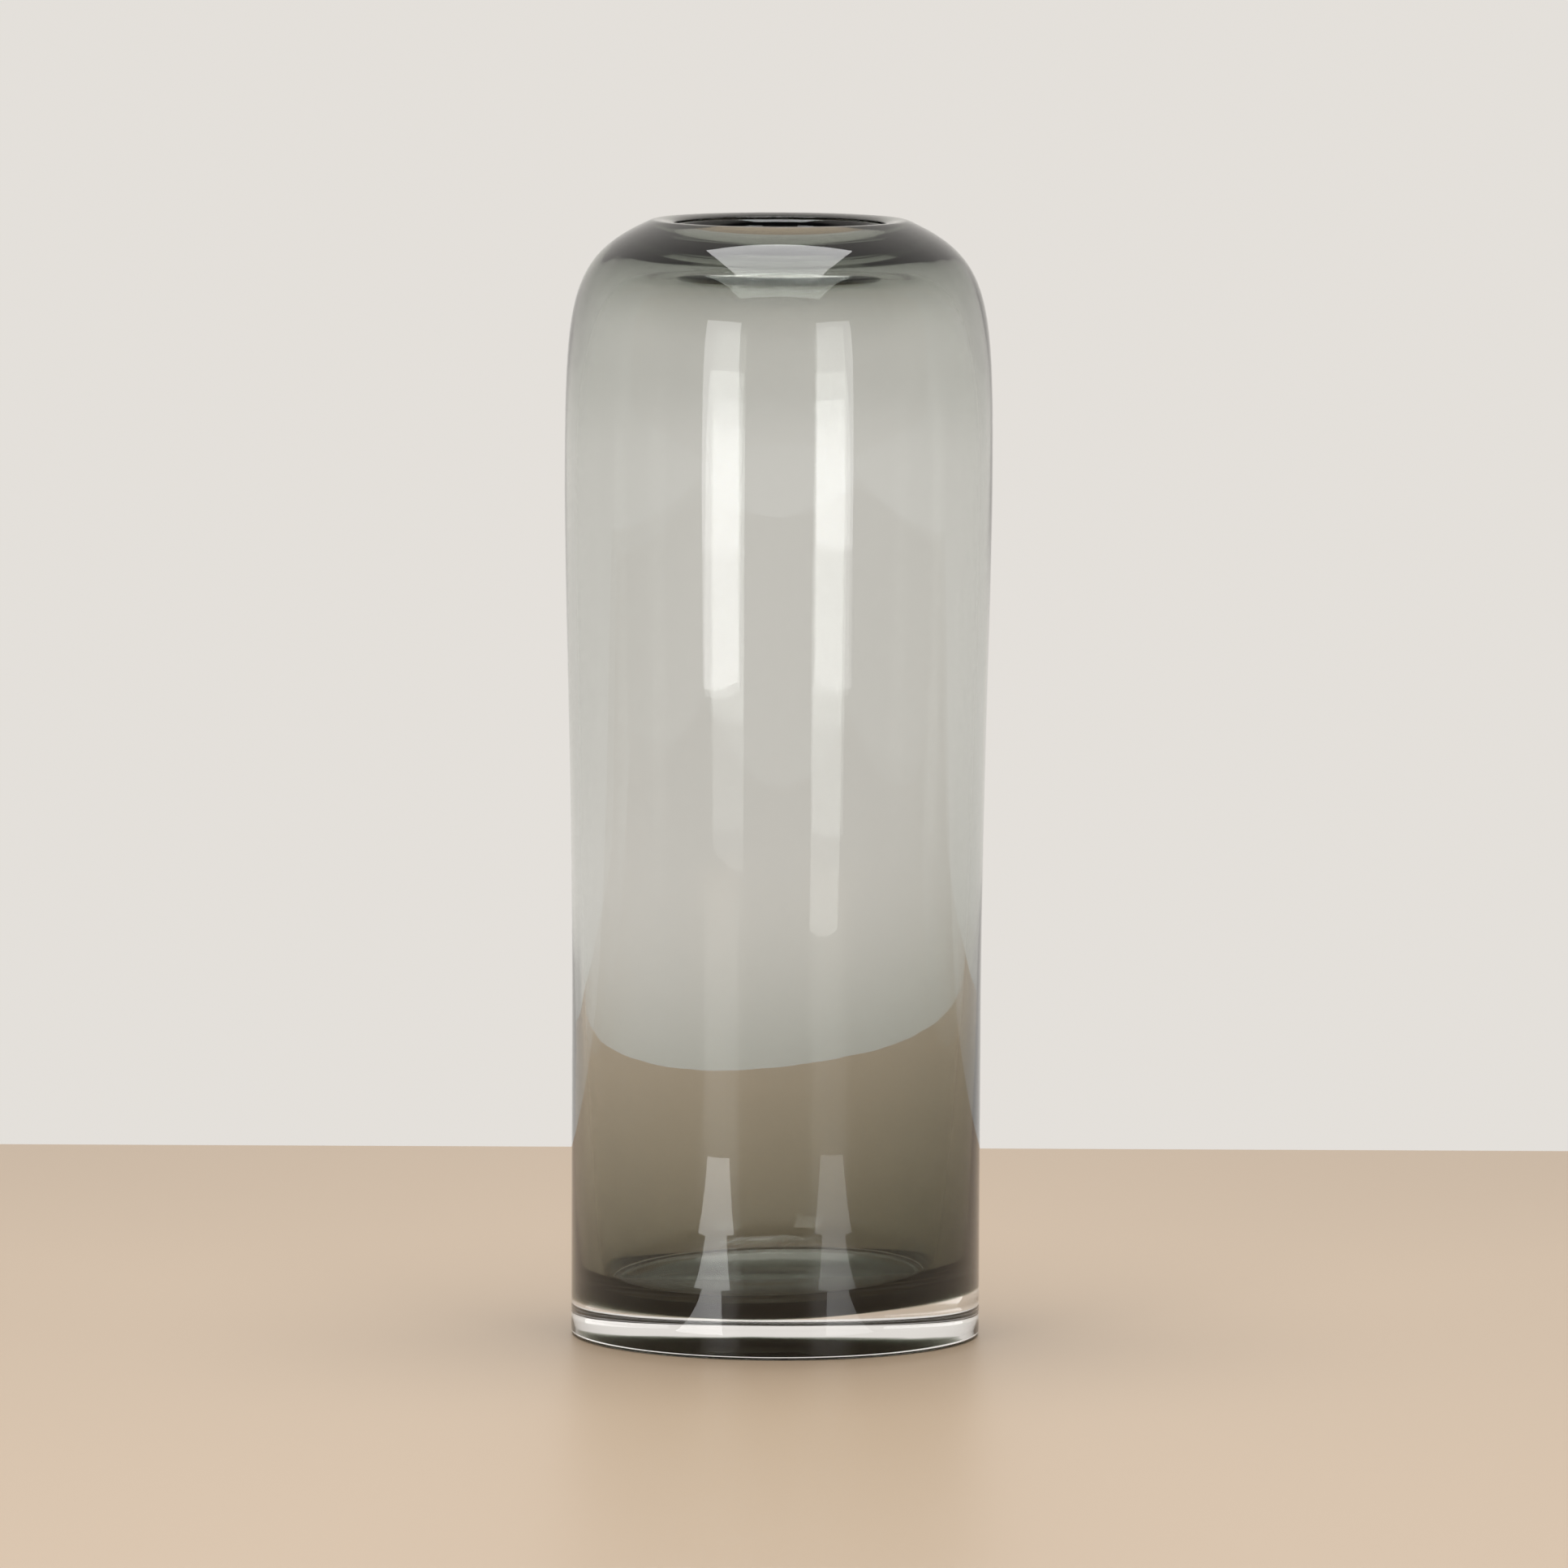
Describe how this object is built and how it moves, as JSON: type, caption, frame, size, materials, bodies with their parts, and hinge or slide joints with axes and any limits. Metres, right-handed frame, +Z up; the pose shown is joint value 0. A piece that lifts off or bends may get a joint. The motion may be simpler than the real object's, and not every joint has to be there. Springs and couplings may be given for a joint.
{
  "type": "glass cylinder vase",
  "caption": "Tall cylinder vase in smoke-grey glass cased in clear glass, with a rounded shoulder, a narrowed mouth and a heavy clear foot; holds cut flowers.",
  "frame": {"origin": "on the resting plane, under the middle of the foot", "axes": "+Z up along the vase's axis, towards the mouth; the vase looks the same from every side, so +X and +Y are free"},
  "size_m": [0.13, 0.13, 0.34],
  "materials": {
    "clear_glass": "fire-polished clear glass",
    "smoke_glass": "fire-polished smoke-grey glass"
  },
  "bodies": {
    "root": {"clear_glass_casing": "clear_glass", "smoke_glass_liner": "smoke_glass"}
  },
  "joints": []
}
